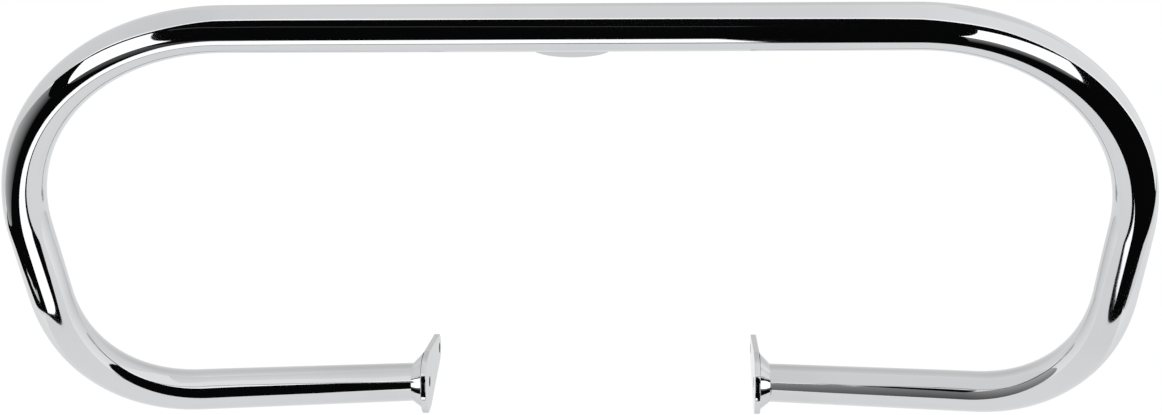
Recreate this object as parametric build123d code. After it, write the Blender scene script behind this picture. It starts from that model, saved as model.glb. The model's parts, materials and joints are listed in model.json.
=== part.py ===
from build123d import *
from math import asin, cos, degrees, radians, sin
import os

# Motorcycle crash bar: one bent steel tube, a lug plate welded on the end of each leg,
# and a bolt tab welded behind the middle of the top run.
# Frame, in millimetres: origin at the centre of the tab's bolt hole, X along the top run,
# Y rearward from the hoop to the motorcycle, Z up. The left half mirrors the right one.

# Tube stock
tube_diameter = 31.75
tube_wall = 3.05

# Bends, outward from the middle of the top run
hoop_lean = 21.5  # degrees that the hoop's plane leans forward from upright
top_run = 455.0  # straight between the two shoulder bends
bend_radius = 160.0  # to the tube's axis, the same in every bend
shoulder_bend = 93.8  # degrees
side_run = 59.5  # straight between shoulder and knee
knee_twist = 33.0  # degrees that the bending plane turns about the side run
knee_bend = 63.0  # degrees

# Lug plates
plate_gap = 270.5  # between the inner faces of the two plates
plate_thickness = 4.8
plate_hole = 9.0  # diameter of the bolt hole and of the drain hole into the tube
hole_spacing = 81.0  # from the drain hole rearward to the bolt hole
lobe_straight = 11.0  # parallel length of the wide lobe that the tube stands on
ear_radius = 12.0  # rounded end about the bolt hole

# Top tab
tab_slope = 26.0  # degrees that the tab points below level
tab_reach = 46.0  # from the tube's axis to the bolt hole
tab_radius = 28.0  # rounded end, and half the tab's width
tab_thickness = 5.5
tab_hole = 10.5

# Welds and edges
plate_weld_leg = 7.0  # how far a plate weld spreads over the plate, and up the tube
plate_weld_land = 1.4  # plate left showing above and below the weld
plate_weld_lip = 0.5  # thickness of a plate weld where it ends on the tube
tab_weld_leg = 5.0
tab_weld_inset = 3.0  # from the tab's side to the end of its weld
weld_dip = 0.8  # how far a weld's face is hollowed below flat
edge_round = 0.8

# Sizes that follow
tube_radius = tube_diameter / 2
tab_heading = Vector(0, cos(radians(tab_slope)), -sin(radians(tab_slope)))
tab_plane = Plane((0, 0, 0), x_dir=(1, 0, 0), z_dir=Vector(1, 0, 0).cross(tab_heading))
tube_middle = tab_heading * -tab_reach
plate_outer_x = plate_gap / 2 + plate_thickness


# Main tube: a pen is a plane whose z axis is the tube's heading and whose x axis is the way it bends

tube_section = Circle(tube_radius) - Circle(tube_radius - tube_wall)


def straight(pen, length):
    """A straight run of tube, and the pen moved to its end."""
    return extrude(pen * tube_section, amount=length), pen.offset(length)


def bend(pen, angle):
    """A bend towards the pen's x axis, and the pen moved and turned to its end."""
    centre = pen.origin + pen.x_dir * bend_radius
    run = revolve(pen * tube_section, axis=Axis(centre, pen.y_dir), revolution_arc=angle)
    turned_x = pen.x_dir * cos(radians(angle)) - pen.z_dir * sin(radians(angle))
    heading = pen.z_dir * cos(radians(angle)) + pen.x_dir * sin(radians(angle))
    return run, Plane(centre - turned_x * bend_radius, x_dir=turned_x, z_dir=heading)


hoop_down = (0, sin(radians(hoop_lean)), -cos(radians(hoop_lean)))
pen = Plane(tube_middle, x_dir=hoop_down, z_dir=(1, 0, 0))
half_top, pen = straight(pen, top_run / 2)
shoulder, pen = bend(pen, shoulder_bend)
side, pen = straight(pen, side_run)
knee, pen = bend(Plane(pen.location * Rot(0, 0, knee_twist)), knee_bend)

# The leg runs on to the plate, and its end is mitred to the plate's outer face
leg_heading = pen.z_dir
leg_slant = Vector(0, leg_heading.Y, leg_heading.Z)
leg_seat = pen.origin + leg_heading * ((plate_outer_x - pen.origin.X) / leg_heading.X)
mitre_half = tube_radius * leg_slant.length / abs(leg_heading.X)
leg, _ = straight(pen, (leg_seat - pen.origin).length + mitre_half)
mitre_cut = extrude(Plane(leg_seat, z_dir=(-1, 0, 0)) * Circle(2 * tube_diameter), amount=2 * tube_diameter)
half_tube = half_top + shoulder + side + knee + (leg - mitre_cut)
main_tube = half_tube + mirror(half_tube, about=Plane.YZ)


# Lug plate: a wide lobe under the tube, tapering to an ear about the bolt hole

lobe_radius = tube_radius + plate_weld_leg + plate_weld_land
lobe_half = lobe_straight / 2
taper = degrees(asin((lobe_radius - ear_radius) / (hole_spacing - lobe_half)))
flank = Line((-lobe_half, lobe_radius), (lobe_half, lobe_radius))
shoulder_arc = CenterArc((lobe_half, 0), lobe_radius, 90, -taper)
ear_arc = CenterArc((hole_spacing, 0), ear_radius, 90 - taper, taper - 90)
front_arc = CenterArc((-lobe_half, 0), lobe_radius, 90, 90)
upper_edge = Curve() + [front_arc, flank, shoulder_arc, Line(shoulder_arc @ 1, ear_arc @ 0), ear_arc]
plate_outline = make_face([*upper_edge.edges(), *mirror(upper_edge, about=Plane.XZ).edges()])

plate_plane = Plane((plate_gap / 2, leg_seat.Y, leg_seat.Z), x_dir=(0, 1, 0), z_dir=(1, 0, 0))
plate_blank = extrude(plate_plane * plate_outline, amount=plate_thickness)
plate_blank = fillet(plate_blank.faces().filter_by(Axis.X).edges(), edge_round)
plate_holes = Circle(plate_hole / 2) + Pos(hole_spacing, 0) * Circle(plate_hole / 2)
right_mount_plate = plate_blank - extrude(plate_plane * plate_holes, amount=plate_thickness)


# Plate weld: a hollowed fillet round the slanted tube, through ellipses that follow the tube's axis

def weld_ring(height, spread):
    """The outline of the weld at a height above the plate, spread beyond the tube's own ellipse."""
    centre = leg_seat + leg_heading * (height / leg_heading.X)
    across = Plane(centre, x_dir=leg_slant, z_dir=(1, 0, 0))
    return across * Ellipse(tube_radius / abs(leg_heading.X) + spread, tube_radius + spread)


weld_middle = plate_weld_leg / 2 - weld_dip
weld_body = loft([
    weld_ring(0, plate_weld_leg),
    weld_ring(weld_middle, weld_middle),
    weld_ring(plate_weld_leg, plate_weld_lip),
])
leg_core = extrude(Plane(leg_seat, z_dir=leg_heading) * Circle(tube_radius), amount=2 * tube_diameter, both=True)
right_plate_weld = weld_body - leg_core


# Top tab: a rounded plate whose root is cut to the curve of the tube, and a weld along each face

tab_outline = Circle(tab_radius) + Pos(0, -tab_reach / 2) * Rectangle(2 * tab_radius, tab_reach)
tab_blank = extrude(tab_plane * tab_outline, amount=tab_thickness / 2, both=True)
tab_blank = fillet(tab_blank.faces().filter_by(tab_plane).edges(), edge_round)
tab_drill = extrude(tab_plane * Circle(tab_hole / 2), amount=tab_thickness, both=True)
top_core = extrude(Plane(tube_middle, z_dir=(1, 0, 0)) * Circle(tube_radius), amount=2 * tab_radius, both=True)
top_mount_tab = tab_blank - tab_drill - top_core

# The bead's section is drawn about the tube's axis, with its x axis along the tab
bead_plane = Plane(tube_middle, x_dir=tab_heading, z_dir=(1, 0, 0))
root_angle = degrees(asin(tab_thickness / 2 / tube_radius))
bead_root = Vector(tube_radius, 0).rotate(Axis.Z, root_angle)
bead_toe = bead_root + Vector(tab_weld_leg, 0)
bead_top = bead_root.rotate(Axis.Z, degrees(tab_weld_leg / tube_radius))
bead_middle = (bead_toe + bead_top) / 2
bead_dip = bead_middle + (bead_root - bead_middle).normalized() * weld_dip
bead_face = ThreePointArc(bead_toe, bead_dip, bead_top)
bead_section = make_face([bead_face, Line(bead_top, (0, bead_root.Y)), Line((0, bead_root.Y), bead_toe)])
bead_length = tab_radius - tab_weld_inset
upper_bead = extrude(bead_plane * bead_section, amount=bead_length, both=True) - top_core
top_tab_weld = Compound(children=[upper_bead, mirror(upper_bead, about=Plane(tube_middle, z_dir=tab_plane.z_dir))])


parts = {
    "main_tube": main_tube,
    "right_mount_plate": right_mount_plate,
    "left_mount_plate": mirror(right_mount_plate, about=Plane.YZ),
    "right_plate_weld": right_plate_weld,
    "left_plate_weld": mirror(right_plate_weld, about=Plane.YZ),
    "top_mount_tab": top_mount_tab,
    "top_tab_weld": top_tab_weld,
}
os.makedirs("parts", exist_ok=True)
for node, solid in parts.items():
    export_step(solid, f"parts/{node}.step")
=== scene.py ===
import json
from math import asin, cos, degrees, pi, radians, sin

import bmesh
import bpy
import numpy as np
from mathutils import Matrix


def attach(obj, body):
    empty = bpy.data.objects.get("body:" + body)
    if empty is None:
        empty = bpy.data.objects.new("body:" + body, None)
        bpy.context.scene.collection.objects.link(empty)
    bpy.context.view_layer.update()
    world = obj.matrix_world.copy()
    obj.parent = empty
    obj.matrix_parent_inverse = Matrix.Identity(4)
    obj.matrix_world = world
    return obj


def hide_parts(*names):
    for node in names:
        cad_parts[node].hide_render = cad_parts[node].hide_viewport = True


# Motorcycle crash bar in bright chrome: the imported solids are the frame, and each one is replaced by a
# smooth surface of the same form, because a mirror finish shows every facet of a plain mesh.
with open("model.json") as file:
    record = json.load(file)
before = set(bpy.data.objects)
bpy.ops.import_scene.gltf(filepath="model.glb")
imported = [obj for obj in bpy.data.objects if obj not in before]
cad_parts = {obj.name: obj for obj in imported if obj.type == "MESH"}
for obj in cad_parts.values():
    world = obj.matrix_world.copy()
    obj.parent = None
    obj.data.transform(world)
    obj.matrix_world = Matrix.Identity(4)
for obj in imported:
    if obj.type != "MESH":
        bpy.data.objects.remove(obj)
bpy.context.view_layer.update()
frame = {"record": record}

mm = 0.001

# Tube stock and bends, in metres and radians, outward from the middle of the top run
tube_radius = 31.75 / 2 * mm
bore_radius = tube_radius - 3.05 * mm
bend_radius = 160.0 * mm
top_run = 455.0 * mm
side_run = 59.5 * mm
hoop_lean = radians(21.5)
shoulder_bend = radians(93.8)
knee_twist = radians(33.0)
knee_bend = radians(63.0)
bend_flattening = 0.02
flattening_run = 80.0 * mm

# Lug plates
hole_spacing = 81.0 * mm
lobe_straight = 11.0 * mm
ear_radius = 12.0 * mm
plate_weld_leg = 7.0 * mm
plate_weld_land = 1.4 * mm

# Plate welds as they are dressed: flat from plate to tube
weld_spread = 7.8 * mm
weld_upper_spread = 8.7 * mm
weld_rise = 7.8 * mm
weld_lip = 0.1 * mm
fine_ripple = 0.02 * mm
fine_ripples_round = 34
slow_ripple = 0.03 * mm
slow_ripples_round = 5

# Top tab
tab_reach = 46.0 * mm
tab_radius = 28.0 * mm
tab_weld_leg = 5.0 * mm
tab_weld_inset = 3.0 * mm
tab_weld_taper = 4.0 * mm
weld_dip = 0.8 * mm

# Edges, and how finely the surfaces are drawn
edge_round = 0.8 * mm
crisp_angle = radians(38)
merge_distance = 0.002 * mm
speck_size = 0.001 * mm
top_rings = 40
side_rings = 8
leg_rings = 36
weld_rows = 11

# Places and sizes that the frame gives
mounts = {mount["name"]: mount for mount in frame["record"]["mounts"]}
x_axis = np.array((1.0, 0.0, 0.0))
tab_normal = np.array(mounts["top_bolt_hole"]["axis"])
tab_heading = np.cross(tab_normal, x_axis)
tab_thickness = mounts["top_bolt_hole"]["dims"]["length_mm"] * mm
tab_hole_radius = mounts["top_bolt_hole"]["dims"]["r_mm"] * mm
tube_middle = -tab_heading * tab_reach
bolt_hole = np.array(mounts["right_bolt_hole"]["pos_m"])
plate_hole_radius = mounts["right_bolt_hole"]["dims"]["r_mm"] * mm
plate_thickness = mounts["right_bolt_hole"]["dims"]["length_mm"] * mm
plate_inner_x = bolt_hole[0] - plate_thickness / 2
plate_outer_x = bolt_hole[0] + plate_thickness / 2


# Mesh helpers

def quads(index, closed=False):
    """Faces between neighbouring rows of a grid of vertex numbers, closed across the columns if asked."""
    after = np.roll(index, -1, axis=1)
    faces = np.stack([index[:-1], index[1:], after[1:], after[:-1]], axis=-1)
    return (faces if closed else faces[:, :-1]).reshape(-1, 4)


def numbered(grid, start=0):
    """The vertex numbers of a grid of points, counted from start."""
    rows, columns = grid.shape[:2]
    return start + np.arange(rows * columns).reshape(rows, columns)


def make_mesh(name, vertices, faces):
    """A closed smooth mesh: doubles merged, faces outward, edges sharper than a rounding left crisp."""
    mesh = bpy.data.meshes.new(name)
    mesh.from_pydata(vertices.reshape(-1, 3).tolist(), [], faces.tolist())
    form = bmesh.new()
    form.from_mesh(mesh)
    bmesh.ops.remove_doubles(form, verts=form.verts, dist=merge_distance)
    bmesh.ops.dissolve_degenerate(form, edges=form.edges, dist=speck_size)
    bmesh.ops.recalc_face_normals(form, faces=form.faces)
    form.to_mesh(mesh)
    form.free()
    mesh.polygons.foreach_set("use_smooth", np.ones(len(mesh.polygons), bool))
    mesh.set_sharp_from_angle(angle=crisp_angle)
    return mesh


def add_piece(mesh, node, material):
    """Puts a finished mesh in the scene in place of its CAD node."""
    piece = bpy.data.objects.new(mesh.name, mesh)
    bpy.context.scene.collection.objects.link(piece)
    mesh.materials.append(material)
    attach(piece, "root")
    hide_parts(node)


def outline_places(counts):
    """Places along an outline of several stretches: from k to k + 1 in even steps along stretch k."""
    steps = [np.linspace(k, k + 1, count, endpoint=False) for k, count in enumerate(counts)]
    return np.concatenate([*steps, [float(len(counts))]])


def unmoved(points):
    """The same points, for a piece that is drawn on the side it belongs to."""
    return points


def mirrored(points):
    """The same points on the other side of the guard's middle plane."""
    return points * np.array((-1.0, 1.0, 1.0))


# Main tube: a pen holds the axis point, the heading, and the side that the tube bends towards

def straight_stations(pen, length, count):
    """Stations along a straight: point + heading * s, with both directions unchanged."""
    point, heading, side = pen
    reach = np.linspace(0, length, count + 1)[1:, None]
    points = point + heading * reach
    return points, np.broadcast_to(heading, points.shape), np.broadcast_to(side, points.shape)


def bend_stations(pen, angle):
    """Stations round a bend, one for each degree: point + side * R * (1 - cos a) + heading * R * sin a,
    with heading and side turned by a in the plane that they lie in."""
    point, heading, side = pen
    turn = np.linspace(0, angle, round(degrees(angle)) + 1)[1:, None]
    points = point + side * bend_radius * (1 - np.cos(turn)) + heading * bend_radius * np.sin(turn)
    headings = heading * np.cos(turn) + side * np.sin(turn)
    sides = side * np.cos(turn) - heading * np.sin(turn)
    return points, headings, sides


def last_pen(run):
    """The pen at the end of a run of stations."""
    points, headings, sides = run
    return points[-1], headings[-1], sides[-1]


hoop_down = np.array((0.0, sin(hoop_lean), -cos(hoop_lean)))
start_pen = (tube_middle, x_axis, hoop_down)
half_top = straight_stations(start_pen, top_run / 2, top_rings)
shoulder = bend_stations(last_pen(half_top), shoulder_bend)
upper_side = straight_stations(last_pen(shoulder), side_run / 2, side_rings)
twist_point, twist_heading, twist_side = last_pen(upper_side)
twist_side = twist_side * cos(knee_twist) + np.cross(twist_heading, twist_side) * sin(knee_twist)
lower_side = straight_stations((twist_point, twist_heading, twist_side), side_run / 2, side_rings)
knee = bend_stations(last_pen(lower_side), knee_bend)
leg_start, leg_heading, _ = last_pen(knee)
leg_length = (plate_outer_x - leg_start[0]) / leg_heading[0]
leg_seat = leg_start + leg_heading * leg_length
leg_slope = np.array((0.0, leg_heading[1], leg_heading[2]))
leg_slope /= np.linalg.norm(leg_slope)
mitre_room = 2 * tube_radius * abs(np.dot(leg_heading, leg_slope) / leg_heading[0])
leg = straight_stations(last_pen(knee), leg_length - mitre_room, leg_rings)
leg_end = straight_stations(last_pen(knee), leg_length, 1)


def smooth_rise(value):
    """From nought to one with level ends: 3 v^2 - 2 v^3."""
    value = np.clip(value, 0, 1)
    return value ** 2 * (3 - 2 * value)


def flattening(along, bend_start, bend_angle):
    """A bend's flattening at places along the tube: it comes on over a short run at the bend's start and
    goes off over as long a run at its end, half of each run being in the straight."""
    lead = flattening_run / 2
    bend_end = bend_start + bend_radius * bend_angle
    comes_on = smooth_rise((along - bend_start + lead) / flattening_run)
    goes_off = smooth_rise((bend_end + lead - along) / flattening_run)
    return bend_flattening * comes_on * goes_off


def half_tube(radius, around):
    """Rings of the right half: axis + radius * ((1 - f) * cos p * side + (1 + f) * sin p * across), where
    f is the flattening, across is heading x side, and p is counted from the same line of the tube past
    the twist between the bends. The last ring slides along the leg until it lies on the plate's face."""
    runs = (half_top, shoulder, upper_side, lower_side, knee, leg, leg_end)
    start = tuple(value[None] for value in start_pen)
    points, headings, sides = (np.concatenate(group) for group in zip(start, *runs))
    along = np.concatenate([[0.0], np.cumsum(np.linalg.norm(np.diff(points, axis=0), axis=1))])
    untwisted = 1 + sum(len(run[0]) for run in (half_top, shoulder, upper_side))
    twist = np.zeros((len(points), 1))
    twist[untwisted:] = knee_twist
    turn = np.linspace(0, 2 * pi, around, endpoint=False)[None] - twist
    knee_start = top_run / 2 + bend_radius * shoulder_bend + side_run
    flat = flattening(along, top_run / 2, shoulder_bend) + flattening(along, knee_start, knee_bend)
    toward = (1 - flat)[:, None] * np.cos(turn)
    sideways = (1 + flat)[:, None] * np.sin(turn)
    across = np.cross(headings, sides)
    rings = points[:, None] + radius * (
        toward[..., None] * sides[:, None] + sideways[..., None] * across[:, None])
    slide = (plate_outer_x - rings[-1, :, 0]) / leg_heading[0]
    rings[-1] += slide[:, None] * leg_heading
    return rings


def whole_tube(radius, around):
    """The right half's rings, and their mirror image on the left, in one grid from end to end."""
    right = half_tube(radius, around)
    return np.concatenate([mirrored(right[:0:-1]), right])


def chrome_tube(around=80):
    """The outer skin and the bore as two grids of rings, joined by a flat ring at each mitred end."""
    skin = whole_tube(tube_radius, around)
    bore = whole_tube(bore_radius, around)
    skin_index = numbered(skin)
    bore_index = numbered(bore, skin_index.size)
    faces = np.concatenate([
        quads(skin_index, closed=True),
        quads(bore_index, closed=True),
        quads(np.stack([skin_index[0], bore_index[0]]), closed=True),
        quads(np.stack([skin_index[-1], bore_index[-1]]), closed=True),
    ])
    return make_mesh("chrome_tube", np.concatenate([skin.reshape(-1, 3), bore.reshape(-1, 3)]), faces)


# Lug plates

def rounded_edge(thickness, support=0.3 * mm, steps=6):
    """A plate's edge from one face to the other, as how far in from the outline and how high above the
    first face: two quarter circles of the edge rounding, with a narrow flat kept beside each."""
    turn = np.linspace(0, pi / 2, steps)
    inset = edge_round * (1 - np.sin(turn))
    rise = edge_round * (1 - np.cos(turn))
    inset = np.concatenate([[edge_round + support], inset])
    rise = np.concatenate([[0.0], rise])
    return np.concatenate([inset, inset[::-1]]), np.concatenate([rise, thickness - rise[::-1]])


def plate_half():
    """The plate's upper half. Its edge is centre + radius * (cos a, sin a), where along the arcs only the
    angle changes and along the straights only centre and radius do. Each place on it is joined across
    the faces to the drain hole's rim, then to the line between the holes, then to the bolt hole's rim."""
    lobe_radius = tube_radius + plate_weld_leg + plate_weld_land
    lobe_half = lobe_straight / 2
    taper = asin((lobe_radius - ear_radius) / (hole_spacing - lobe_half))
    rear_share = 0.85
    rear_centre = lobe_half + rear_share * (hole_spacing - lobe_half)
    rear_radius = lobe_radius + rear_share * (ear_radius - lobe_radius)
    upright = pi / 2 - taper
    counts = (32, 8, 6, 12, 8, 24)
    knots = np.arange(len(counts) + 1)
    place = outline_places(counts)
    centre = np.interp(place, knots, (
        -lobe_half, -lobe_half, lobe_half, lobe_half, rear_centre, hole_spacing, hole_spacing))
    radius = np.interp(place, knots, (
        lobe_radius, lobe_radius, lobe_radius, lobe_radius, rear_radius, ear_radius, ear_radius))
    angle = np.interp(place, knots, (pi, pi / 2, pi / 2, upright, upright, upright, 0))
    inset, rise = rounded_edge(plate_thickness)
    span = radius[:, None] - inset
    edge = np.stack([
        np.broadcast_to(rise, span.shape),
        centre[:, None] + span * np.cos(angle)[:, None],
        span * np.sin(angle)[:, None],
    ], axis=-1)

    line_start = 3
    line_end = 4
    line_length = hole_spacing - 2 * plate_hole_radius
    at_rear = place > line_end
    rim_centre = np.where(
        at_rear, hole_spacing, np.interp(place, (line_start, line_end), (0, line_length)))
    bolt_rim_turn = np.interp(place, (line_end, 5, 6), (pi, radians(100), 0))
    drain_rim_turn = np.interp(place, (0, 1, 2, line_start), (pi, pi / 2, pi / 4, 0))
    rim_angle = np.where(at_rear, bolt_rim_turn, drain_rim_turn)
    rim = np.stack([
        np.zeros(len(place)),
        rim_centre + plate_hole_radius * np.cos(rim_angle),
        plate_hole_radius * np.sin(rim_angle),
    ], axis=-1)
    far_rim = rim + np.array((plate_thickness, 0, 0))
    grid = np.concatenate([rim[:, None], edge, far_rim[:, None]], axis=1)

    index = numbered(grid)
    between_holes = (place[:-1] >= line_start) & (place[:-1] < line_end)
    walls = quads(index[:, [-1, 0]])[~between_holes]
    return grid.reshape(-1, 3), np.concatenate([quads(index), walls])


def lug_plate(name, across):
    """Both halves of a plate, set on the guard's right side or mirrored to its left."""
    upper, faces = plate_half()
    lower = upper * np.array((1.0, 1.0, -1.0))
    corner = np.array((plate_inner_x, bolt_hole[1] - hole_spacing, bolt_hole[2]))
    points = corner + np.concatenate([upper, lower])
    return make_mesh(name, across(points), np.concatenate([faces, faces + len(upper)]))


def plate_weld(name, across, around=128):
    """A weld bead round a leg: rings at heights above the plate follow the slanted tube, each the tube's
    own ellipse widened by the bead's spread there. The face is straight from plate to tube, spreads
    further above the tube than below it and has low ripples, and the back lies on tube and plate."""
    turn = np.linspace(0, 2 * pi, around, endpoint=False)
    sideways = np.cross(x_axis, leg_slope)
    upward = leg_slope[2] * np.cos(turn) + sideways[2] * np.sin(turn)
    toe = weld_spread + (weld_upper_spread - weld_spread) * upward
    share = np.linspace(0, 1, weld_rows)[:, None]
    uneven_step = 1.5 * np.sin(3 * turn)
    slow_start = 0.7
    ripple = fine_ripple * np.sin(fine_ripples_round * turn + uneven_step)
    ripple += slow_ripple * np.sin(slow_ripples_round * turn + slow_start)
    bulge = np.sin(pi * share) * ripple
    lift = 0.7 * bulge
    back = np.zeros((2, around))
    spread = np.concatenate([toe + (weld_lip - toe) * share + bulge, back])
    rise = np.concatenate([weld_rise * share + lift, back + np.array((weld_rise, 0))[:, None]])
    long_half = tube_radius / abs(leg_heading[0]) + spread
    short_half = tube_radius + spread
    points = (
        leg_seat + leg_heading * (rise / leg_heading[0])[..., None]
        + leg_slope * (long_half * np.cos(turn))[..., None]
        + sideways * (short_half * np.sin(turn))[..., None]
    )
    index = numbered(points)
    index = np.concatenate([index, index[:1]])
    return make_mesh(name, across(points), quads(index, closed=True))


# Top tab

def tab_half():
    """The tab's right half, across, along and above its middle: an edge of centre + radius *
    (cos a, sin a) round the end and down the side to the tube, each place joined across the faces to the
    hole's rim and then to the line from hole to tube. The root follows the tube, at
    sqrt(r^2 - height^2) from its axis."""
    place = outline_places((40, 14, 10))
    angle = np.interp(place, (0, 1), (pi / 2, 0))
    hole_passed = -0.6 * tab_radius
    inset, rise = rounded_edge(tab_thickness)
    inset = np.concatenate([[0.0], inset, [0.0]])
    height = np.concatenate([[0.0], rise, [tab_thickness]]) - tab_thickness / 2
    root = -tab_reach + np.sqrt(tube_radius ** 2 - height ** 2)
    to_root = np.clip(place - 2, 0, 1)[:, None]
    centre = np.interp(place, (1, 2), (0, hole_passed))[:, None] * (1 - to_root) + root * to_root
    span = tab_radius - inset
    along_edge = centre + span * np.sin(angle)[:, None]
    grid = np.stack([
        span * np.cos(angle)[:, None],
        along_edge,
        np.broadcast_to(height, along_edge.shape),
    ], axis=-1)

    rim_angle = np.interp(place, (0, 1, 2), (pi / 2, 0, -pi / 2))
    rim_reach = -tab_hole_radius * (1 - to_root) + root[[0, -1]] * to_root
    grid[:, [0, -1], 0] = tab_hole_radius * np.cos(rim_angle)[:, None]
    grid[:, [0, -1], 1] = np.where(
        place[:, None] <= 2, tab_hole_radius * np.sin(rim_angle)[:, None], rim_reach)

    index = numbered(grid)
    walls = quads(index[:, [-1, 0]])[place[:-1] < 2]
    foot = index[-1]
    half = len(foot) // 2
    cap = quads(np.stack([foot[:half], foot[:half - 1:-1]]))
    return grid.reshape(-1, 3), np.concatenate([quads(index), walls, cap])


def bolt_tab():
    """Both halves of the tab, turned to its slope behind the top run."""
    right, faces = tab_half()
    across = np.concatenate([right, mirrored(right)])
    points = across @ np.stack([x_axis, tab_heading, tab_normal])
    return make_mesh("bolt_tab", points, np.concatenate([faces, faces + len(right)]))


def tab_bead(above):
    """One weld bead along the tab: a section with a hollow face from tab to tube, carried along X with
    low waves and drawn in to its root over its ends by sqrt(1 - q^2). Above is 1 for the upper bead and
    -1 for the lower."""
    root_angle = asin(tab_thickness / 2 / tube_radius)
    top_angle = root_angle + tab_weld_leg / tube_radius
    root = tube_radius * np.array((cos(root_angle), sin(root_angle)))
    toe = root + np.array((tab_weld_leg, 0))
    top = tube_radius * np.array((cos(top_angle), sin(top_angle)))
    share = np.linspace(0, 1, weld_rows)[:, None]
    middle = (toe + top) / 2
    dip = middle + (root - middle) / np.linalg.norm(root - middle) * weld_dip
    face = (1 - share) * (1 - 2 * share) * toe + 4 * share * (1 - share) * dip
    face += share * (2 * share - 1) * top
    back_turn = np.linspace(top_angle, root_angle, 6)[1:]
    back = tube_radius * np.stack([np.cos(back_turn), np.sin(back_turn)], axis=-1)
    section = np.concatenate([face, back]) - root
    bead_half = tab_radius - tab_weld_inset
    full_half = bead_half - tab_weld_taper
    reach = np.concatenate([
        np.linspace(0, full_half, 60, endpoint=False),
        full_half + tab_weld_taper * np.sin(np.linspace(0, pi / 2, 12)),
    ])
    reach = np.concatenate([-reach[:0:-1], reach])
    q = np.clip((np.abs(reach) - bead_half + tab_weld_taper) / tab_weld_taper, 0, 1)
    fine_wave = 0.03 * np.sin(reach / (0.45 * mm))
    slow_wave = 0.04 * np.sin(reach / (3.1 * mm))
    fill = np.sqrt(1 - q ** 2) * (1 + fine_wave + slow_wave)
    drawn = root + section[None] * fill[:, None, None]
    points = (
        tube_middle + x_axis * reach[:, None, None]
        + tab_heading * drawn[..., :1] + tab_normal * above * drawn[..., 1:]
    )
    return points, quads(numbered(points), closed=True)


def tab_welds():
    """The beads above and below the tab in one mesh."""
    upper, faces = tab_bead(1)
    lower, _ = tab_bead(-1)
    count = numbered(upper).size
    return make_mesh("bolt_tab_welds", np.stack([upper, lower]), np.concatenate([faces, faces + count]))


# Materials

def link(tree, source, target):
    """Joins one node's output to another's input."""
    tree.links.new(source, target)


def plating_group(haze_start=0.42, haze_full=0.75):
    """Bright chrome plating: a pale metal colour broken by faint haze, a roughness that rises in the
    haze, and a height of shallow waves and fine grains under the plating."""
    group = bpy.data.node_groups.new("bright_plating", "ShaderNodeTree")
    for name, way, kind in (
        ("Clear Colour", "INPUT", "NodeSocketColor"), ("Hazed Colour", "INPUT", "NodeSocketColor"),
        ("Haze Scale", "INPUT", "NodeSocketFloat"), ("Polish", "INPUT", "NodeSocketFloat"),
        ("Haze Roughness", "INPUT", "NodeSocketFloat"), ("Wave Scale", "INPUT", "NodeSocketFloat"),
        ("Grain Scale", "INPUT", "NodeSocketFloat"), ("Grain Share", "INPUT", "NodeSocketFloat"),
        ("Colour", "OUTPUT", "NodeSocketColor"), ("Roughness", "OUTPUT", "NodeSocketFloat"),
        ("Height", "OUTPUT", "NodeSocketFloat"),
    ):
        group.interface.new_socket(name=name, in_out=way, socket_type=kind)
    nodes = group.nodes
    given = nodes.new("NodeGroupInput")
    result = nodes.new("NodeGroupOutput")
    place = nodes.new("ShaderNodeTexCoord")

    def noise(scale, detail):
        """A cloudy pattern on the piece, at one of the given scales."""
        texture = nodes.new("ShaderNodeTexNoise")
        texture.inputs["Detail"].default_value = detail
        link(group, place.outputs["Object"], texture.inputs["Vector"])
        link(group, given.outputs[scale], texture.inputs["Scale"])
        return texture.outputs["Fac"]

    def blend(share, first, second, target, kind="FLOAT"):
        """One of the group's results: first + (second - first) * share."""
        mix = nodes.new("ShaderNodeMix")
        mix.data_type = kind
        link(group, share, mix.inputs["Factor"])
        link(group, first, mix.inputs["A"])
        link(group, second, mix.inputs["B"])
        link(group, mix.outputs["Result"], result.inputs[target])

    haze = nodes.new("ShaderNodeMapRange")
    haze.interpolation_type = "SMOOTHSTEP"
    haze.inputs["From Min"].default_value = haze_start
    haze.inputs["From Max"].default_value = haze_full
    link(group, noise("Haze Scale", detail=5.0), haze.inputs["Value"])
    hazed = haze.outputs["Result"]
    blend(hazed, given.outputs["Clear Colour"], given.outputs["Hazed Colour"], "Colour", kind="RGBA")
    blend(hazed, given.outputs["Polish"], given.outputs["Haze Roughness"], "Roughness")
    waves = noise("Wave Scale", detail=1.0)
    grains = noise("Grain Scale", detail=2.0)
    blend(given.outputs["Grain Share"], waves, grains, "Height")
    return group


plating = plating_group()


def chrome_material(name, wave_height, edge_tint, values):
    """Chrome plate on one kind of piece: the plating group's colour, roughness and height on bare metal,
    which keeps the share edge_tint of the light that it would throw back at a low angle."""
    material = bpy.data.materials.new(name)
    material.use_nodes = True
    tree = material.node_tree
    shader = tree.nodes["Principled BSDF"]
    shader.inputs["Metallic"].default_value = 1.0
    shader.inputs["Specular Tint"].default_value = (edge_tint, edge_tint, edge_tint, 1.0)
    finish = tree.nodes.new("ShaderNodeGroup")
    finish.node_tree = plating
    for socket, value in values.items():
        finish.inputs[socket].default_value = value
    bump = tree.nodes.new("ShaderNodeBump")
    bump.inputs["Strength"].default_value = 1.0
    bump.inputs["Distance"].default_value = wave_height
    link(tree, finish.outputs["Colour"], shader.inputs["Base Color"])
    link(tree, finish.outputs["Roughness"], shader.inputs["Roughness"])
    link(tree, finish.outputs["Height"], bump.inputs["Height"])
    link(tree, bump.outputs["Normal"], shader.inputs["Normal"])
    return material


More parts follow.
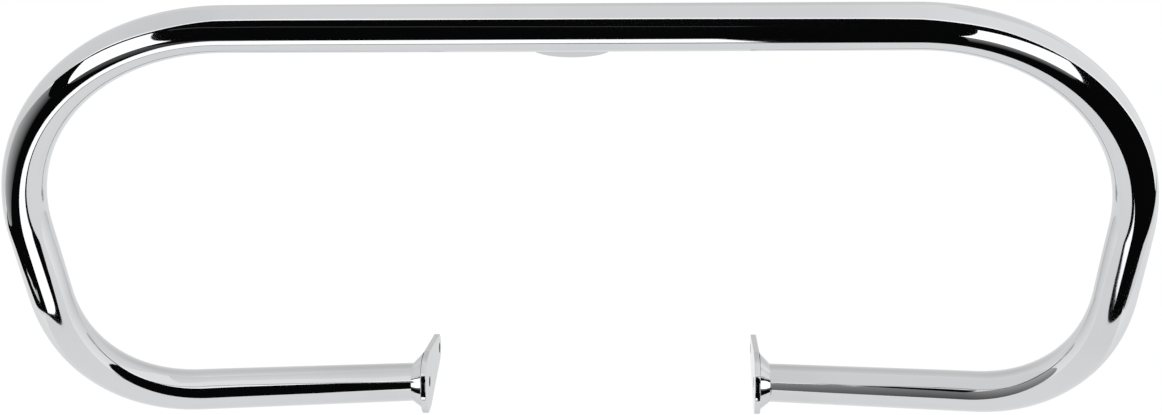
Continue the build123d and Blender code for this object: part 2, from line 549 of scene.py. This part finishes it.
tube_chrome = chrome_material("tube_chrome", wave_height=0.05 * mm, edge_tint=0.95, values={
    "Clear Colour": (0.640, 0.645, 0.655, 1.0), "Hazed Colour": (0.600, 0.608, 0.622, 1.0),
    "Haze Scale": 9.0, "Polish": 0.020, "Haze Roughness": 0.055,
    "Wave Scale": 22.0, "Grain Scale": 900.0, "Grain Share": 0.02,
})
bracket_chrome = chrome_material("bracket_chrome", wave_height=0.04 * mm, edge_tint=0.78, values={
    "Clear Colour": (0.640, 0.645, 0.655, 1.0), "Hazed Colour": (0.590, 0.600, 0.615, 1.0),
    "Haze Scale": 30.0, "Polish": 0.035, "Haze Roughness": 0.090,
    "Wave Scale": 60.0, "Grain Scale": 1200.0, "Grain Share": 0.05,
})
weld_chrome = chrome_material("weld_chrome", wave_height=0.04 * mm, edge_tint=0.85, values={
    "Clear Colour": (0.630, 0.636, 0.648, 1.0), "Hazed Colour": (0.560, 0.570, 0.590, 1.0),
    "Haze Scale": 120.0, "Polish": 0.04, "Haze Roughness": 0.10,
    "Wave Scale": 180.0, "Grain Scale": 1500.0, "Grain Share": 0.10,
})


# The guard

add_piece(chrome_tube(), "main_tube", tube_chrome)
for hand, across in (("right", unmoved), ("left", mirrored)):
    add_piece(lug_plate(f"{hand}_lug", across), f"{hand}_mount_plate", bracket_chrome)
    add_piece(plate_weld(f"{hand}_lug_weld", across), f"{hand}_plate_weld", weld_chrome)
add_piece(bolt_tab(), "top_mount_tab", bracket_chrome)
add_piece(tab_welds(), "top_tab_weld", weld_chrome)


# Studio: the guard hangs above a pale table. The white tent that opens on a dark room at the front is
# painted reflection: glowing and near-black sheets that only the chrome sees and that light nothing

floor_level = -1.05
floor_reach = 14.0
tent_radius = 30.0
room_radius = 8.0
room_floor_level = -4.0


def stage_sheet(name, grid, material):
    """A grid of points as a sheet of the studio, with its rise from first row to last as an attribute."""
    mesh = bpy.data.meshes.new(name)
    mesh.from_pydata(grid.reshape(-1, 3).tolist(), [], quads(numbered(grid)).tolist())
    rise = np.repeat(np.linspace(0, 1, len(grid)), grid.shape[1])
    mesh.attributes.new("rise", "FLOAT", "POINT").data.foreach_set("value", rise)
    mesh.materials.append(material)
    sheet = bpy.data.objects.new(name, mesh)
    bpy.context.scene.collection.objects.link(sheet)
    return sheet


def show_to_metal(sheet):
    """Lets only reflections see a sheet of the studio."""
    sheet.visible_camera = False
    sheet.visible_diffuse = False
    sheet.visible_shadow = False


def bare_material(name):
    """A material with no node but its output, and that output's surface."""
    material = bpy.data.materials.new(name)
    material.use_nodes = True
    nodes = material.node_tree.nodes
    nodes.clear()
    return material, nodes.new("ShaderNodeOutputMaterial").inputs["Surface"]


def glow_material(name, low, high):
    """A plain glow that goes from one strength at a card's foot to another at its head."""
    material, surface = bare_material(name)
    tree = material.node_tree
    glow = tree.nodes.new("ShaderNodeEmission")
    rise = tree.nodes.new("ShaderNodeAttribute")
    rise.attribute_name = "rise"
    strength = tree.nodes.new("ShaderNodeMapRange")
    strength.inputs["To Min"].default_value = low
    strength.inputs["To Max"].default_value = high
    link(tree, rise.outputs["Fac"], strength.inputs["Value"])
    link(tree, strength.outputs["Result"], glow.inputs["Strength"])
    link(tree, glow.outputs["Emission"], surface)
    return material


def studio_card(name, foot, head, low, high, rows=12):
    """A sheet ruled between two lines, foot + (head - foot) * rise, that only bright metal sees: a
    painted reflection that lights nothing. It glows from low at its foot to high at its head, and its
    foot may also be a single point."""
    foot = np.array(foot)
    head = np.array(head)
    rise = np.linspace(0, 1, rows)[:, None, None]
    show_to_metal(stage_sheet(name, foot + (head - foot) * rise, glow_material(name, low, high)))


def sight(azimuth, elevation):
    """Unit directions: azimuth 0 is straight to the front and grows to the right."""
    level = np.cos(elevation)
    return np.stack([np.sin(azimuth) * level, -np.cos(azimuth) * level, np.sin(elevation)], axis=-1)


def far_card(name, eye, distance, low, high, corners):
    """A card whose corners are seen from eye at (azimuth, elevation) in degrees: foot left, foot right,
    head left, head right."""
    turns = np.radians(np.array(corners, float))
    points = np.array(eye) + distance * sight(turns[:, 0], turns[:, 1])
    studio_card(name, points[:2], points[2:], low, high)


def seen_rays(tree):
    """One for camera, glossy and transmission rays, and nought for the rays that carry light."""
    path = tree.nodes.new("ShaderNodeLightPath")
    most = path.outputs["Is Camera Ray"]
    for ray in ("Is Glossy Ray", "Is Transmission Ray"):
        higher = tree.nodes.new("ShaderNodeMath")
        higher.operation = "MAXIMUM"
        link(tree, most, higher.inputs[0])
        link(tree, path.outputs[ray], higher.inputs[1])
        most = higher.outputs[0]
    return most


def floor_material(white_share=0.6):
    """A pale matt floor that takes shadows, and shows as near white to the camera and in the chrome."""
    material, surface = bare_material("pale_floor")
    tree = material.node_tree
    matt = tree.nodes.new("ShaderNodeBsdfDiffuse")
    matt.inputs["Color"].default_value = (0.86, 0.87, 0.88, 1.0)
    white = tree.nodes.new("ShaderNodeEmission")
    mix = tree.nodes.new("ShaderNodeMixShader")
    share = tree.nodes.new("ShaderNodeMath")
    share.operation = "MULTIPLY"
    share.inputs[1].default_value = white_share
    link(tree, seen_rays(tree), share.inputs[0])
    link(tree, share.outputs[0], mix.inputs["Fac"])
    link(tree, matt.outputs["BSDF"], mix.inputs[1])
    link(tree, white.outputs["Emission"], mix.inputs[2])
    link(tree, mix.outputs["Shader"], surface)
    return material


# The floor is one plane, but the chrome sees it only as far as the table's front edge

table_front = -0.408
table_middle = -0.20
table_curve = 0.5
table_left_half = 1.075
table_left_power = 2.80
table_right_half = 1.714
table_right_power = 2.52
fine_reach = 4.0
floor_x = np.concatenate([
    np.linspace(-floor_reach, -fine_reach, 40, endpoint=False),
    np.linspace(-fine_reach, fine_reach, 400, endpoint=False),
    np.linspace(fine_reach, floor_reach, 41),
])


def table_edge(x):
    """The table's front edge: y = front + curve * (|x - middle| / half width)^power, with a half width
    and a power of its own on each side, and never beyond the back of the floor."""
    on_left = x < table_middle
    out = np.abs(x - table_middle) / np.where(on_left, table_left_half, table_right_half)
    curve = table_curve * out ** np.where(on_left, table_left_power, table_right_power)
    return np.minimum(table_front + curve, floor_reach)


def lip_width(x, at_middle=0.06, growth=0.07, least=0.004, most=0.25):
    """The width of the table's dark lip, at middle + growth * (x - middle), between two limits."""
    return np.clip(at_middle + growth * (x - table_middle), least, most)


def floor_line(y):
    """The points (x, y, floor level) for every x across the floor."""
    return np.stack(np.broadcast_arrays(floor_x, y, floor_level), axis=-1)


table_line = table_edge(floor_x)
pale_floor = floor_material()
stage_sheet("table", np.stack([floor_line(table_line), floor_line(floor_reach)]), pale_floor)
front_sheet = np.stack([floor_line(-floor_reach), floor_line(table_line)])
front_floor = stage_sheet("front_floor", front_sheet, pale_floor)
front_floor.visible_glossy = False


# The tent, far beyond everything else, and a card and a screen inside it: glowing sheets that only the
# chrome sees, painted reflections

def tent_surface(pole=0.999, fade_start=-0.35, fade_end=0.6):
    """Rings about the X axis, radius * (q, sqrt(1 - q^2) * cos t, sqrt(1 - q^2) * sin t), close together
    where the tent goes from dim on the left to bright on the right."""
    reach = np.concatenate([[-pole], np.linspace(fade_start, fade_end, 25), [pole]])[:, None]
    turn = np.linspace(0, 2 * pi, 49)
    girth = np.sqrt(1 - reach ** 2)
    ring = np.broadcast_arrays(reach, girth * np.cos(turn), girth * np.sin(turn))
    return tent_radius * np.stack(ring, axis=-1)


def back_rim(middle, half_width=0.86, height=1.3, drop=0.5):
    """The rim of the card behind the legs: middle + (half width * cos t, 0, height * sin t), where drop
    stands for the height in the lower half."""
    turn = np.linspace(0, 2 * pi, 49)
    rise = np.where(turn < pi, height, drop) * np.sin(turn)
    return middle + np.stack([half_width * np.cos(turn), np.zeros_like(turn), rise], axis=-1)


# Painted reflection: the tent glows from 0.93 on the left to 1.13 on the right
show_to_metal(stage_sheet("tent", tent_surface(), glow_material("tent", 0.93, 1.13)))
# Painted shade in the reflections: a card behind the legs that glows 0.74 in its middle and 1.0 at its
# rim, darkening what the legs and knees reflect
back_middle = np.array((0.0, 0.9, 0.0))
studio_card("back_shade_card", back_middle, back_rim(back_middle), low=0.74, high=1.0)
# Painted reflection: a screen on the right that glows 1.0 at its front and 0.86 at its back
studio_card(
    "right_screen",
    foot=((0.6, 0.18, 0.15), (0.6, 0.18, 0.75)),
    head=((0.6, 0.90, 0.50), (0.6, 0.90, 1.25)),
    low=1.0, high=0.86,
)


# The dark room beyond the tent's front, which opens up to an edge that is highest ahead: near-black
# sheets that only the chrome sees, painted shade in the reflections

dark = 0.003
# Painted shade: a near-black band along the table's front edge, seen only in the chrome
lip_line = floor_line(table_line - lip_width(floor_x))
studio_card("table_lip", lip_line, floor_line(table_line), dark, dark, rows=2)

room_left = -124.0
room_right = 118.0
room_turn = np.arange(room_left, room_right + 1)
opening = np.interp(
    room_turn,
    (-125, -105, -85, -65, -45, -25, 0, 25, 45, 65, 85, 105, 120),
    (-36.4, -26.6, -5.5, 20.8, 31.8, 52.0, 51.6, 38.7, 34.5, 19.2, 2.9, -10.0, -24.9),
)
edge_softener = np.hanning(15)
edge_softener /= edge_softener.sum()
opening = np.convolve(np.pad(opening, len(edge_softener) // 2, mode="edge"), edge_softener, mode="valid")
rim_height = 6


def room_line(height):
    """The room's wall line, radius * (sin a, -cos a), at a height for every azimuth."""
    around = room_radius * sight(np.radians(room_turn), np.zeros_like(room_turn))
    return around + np.array((0.0, 0.0, 1.0)) * np.broadcast_to(height, room_turn.shape)[:, None]


room_foot = room_line(room_floor_level)
room_head = room_line(room_radius * np.tan(np.radians(opening)))
rim_head = room_line(room_radius * np.tan(np.radians(opening + rim_height)))
near_middle = 0.05
room_start = room_foot * np.array((near_middle, near_middle, 1.0))
studio_card("room_floor", room_start, room_foot, dark, dark)
studio_card("room_wall", room_foot, np.maximum(room_head, room_foot), dark, dark)
# Painted highlight: a band above the opening's edge that glows 1.8 at the edge and 1.1 higher up
studio_card("tent_rim_highlight", room_head, rim_head, low=1.8, high=1.1)

# Painted reflections that only the chrome sees: a bright glowing patch below the floor in front, and a
# bright glowing bar on the floor along the table's left edge
patch_level = -1.5
studio_card(
    "front_patch",
    foot=((-0.82, 0.10, patch_level), (0.261, 0.10, patch_level)),
    head=((-0.82, -1.457, patch_level), (0.136, -1.457, patch_level)),
    low=1.6, high=1.6,
)
studio_card(
    "edge_bar",
    foot=((-1.275, -0.015, floor_level), (-1.255, -0.060, floor_level)),
    head=((-0.970, -0.265, floor_level), (-0.950, -0.300, floor_level)),
    low=1.15, high=0.5,
)

# The tent's sides: three-cornered, leaning back as they rise, and glowing dimmer away from the front
# corner; painted reflections that only the chrome sees
tent_back = 2.0
tent_top = 1.4
lean_level = -0.3
back_glow = 0.70
for name, x, edge, lean, front_glow in (
    ("right_tent", 0.857, 0.341, 0.847, 1.23), ("left_tent", -0.939, 0.481, 0.911, 1.18),
):
    front_corner = (x, edge + lean * (floor_level - lean_level), floor_level)
    back_corner = (x, tent_back, floor_level)
    top_corner = (x, edge + lean * (tent_top - lean_level), tent_top)
    studio_card(name, front_corner, (back_corner, top_corner), front_glow, back_glow)

# Painted reflections that only the chrome sees and that light nothing: softboxes glowing in the dark room
# with dim skirts below them, a dim wall, a dark flag and a faint glowing rail
left_shoulder = (-0.35, -0.03, -0.03)
right_shoulder = (0.35, -0.03, -0.03)
top_middle = (0.0, -0.03, -0.03)
box_distance = 3.0
flag_distance = 4.0
wall_distance = 7.0
box_glow = 1.8
rail_glow = 0.07
for card in (
    ("left_softbox", left_shoulder, box_distance, box_glow, box_glow,
     ((-44.0, -20.8), (-18.5, -20.3), (-63.1, 15.1), (-36.9, 28.0))),
    ("right_softbox", right_shoulder, box_distance, box_glow, box_glow,
     ((11.0, -21.0), (41.3, -18.7), (23.1, 19.7), (62.1, 15.9))),
    ("left_skirt", left_shoulder, box_distance, 0.03, 0.13,
     ((-34.3, -32.4), (0.7, -52.3), (-44.0, -20.8), (-25.0, -20.3))),
    ("right_skirt", right_shoulder, box_distance, 0.005, 0.30,
     ((10.6, -42.4), (29.3, -32.1), (11.8, -21.0), (39.0, -19.0))),
    ("left_wall", top_middle, wall_distance, 0.0, 0.6,
     ((-64.8, -41.6), (-44.2, 15.0), (-108.5, -29.5), (-103.6, -4.0))),
    ("left_flag", left_shoulder, flag_distance, dark, dark,
     ((-80.0, 9.5), (-52.0, -19.0), (-68.0, 17.0), (-40.0, -5.0))),
    ("rail", top_middle, wall_distance, rail_glow, rail_glow,
     ((-34, 26), (3, 12), (-34, 28.5), (3, 14))),
):
    far_card(*card)


# World and lamp

world = bpy.data.worlds.new("white_surround")
world.use_nodes = True
bpy.context.scene.world = world
sky = world.node_tree
sky.nodes.clear()


def white_light(strength):
    """A white background of one strength."""
    background = sky.nodes.new("ShaderNodeBackground")
    background.inputs["Color"].default_value = (1.0, 1.0, 1.0, 1.0)
    background.inputs["Strength"].default_value = strength
    return background.outputs["Background"]


sky_out = sky.nodes.new("ShaderNodeOutputWorld")
sky_mix = sky.nodes.new("ShaderNodeMixShader")
link(sky, seen_rays(sky), sky_mix.inputs["Fac"])
link(sky, white_light(0.6), sky_mix.inputs[1])
link(sky, white_light(1.0), sky_mix.inputs[2])
link(sky, sky_mix.outputs["Shader"], sky_out.inputs["Surface"])

lamp_data = bpy.data.lights.new("overhead", "SUN")
lamp_data.energy = 2.0
lamp_data.angle = radians(30)
lamp = bpy.data.objects.new("overhead", lamp_data)
lamp.rotation_euler = (radians(22), radians(12), 0)
lamp.visible_glossy = False
bpy.context.scene.collection.objects.link(lamp)


# Camera, at the photograph's viewing angle

camera_data = bpy.data.cameras.new("camera")
camera_data.sensor_width = 36.0
camera_data.lens = 68.282
camera_data.clip_end = 60.0
camera = bpy.data.objects.new("camera", camera_data)
camera_place = Matrix.Translation((0.07026, -1.45795, 0.31969))
camera_heading = Matrix.Rotation(radians(2.558), 4, "Z")
camera_dip = Matrix.Rotation(radians(90 - 16.597), 4, "X")
camera_roll = Matrix.Rotation(radians(-0.781), 4, "Z")
camera.matrix_world = camera_place @ camera_heading @ camera_dip @ camera_roll
bpy.context.scene.collection.objects.link(camera)
bpy.context.scene.camera = camera
bpy.context.scene.view_settings.view_transform = "Standard"
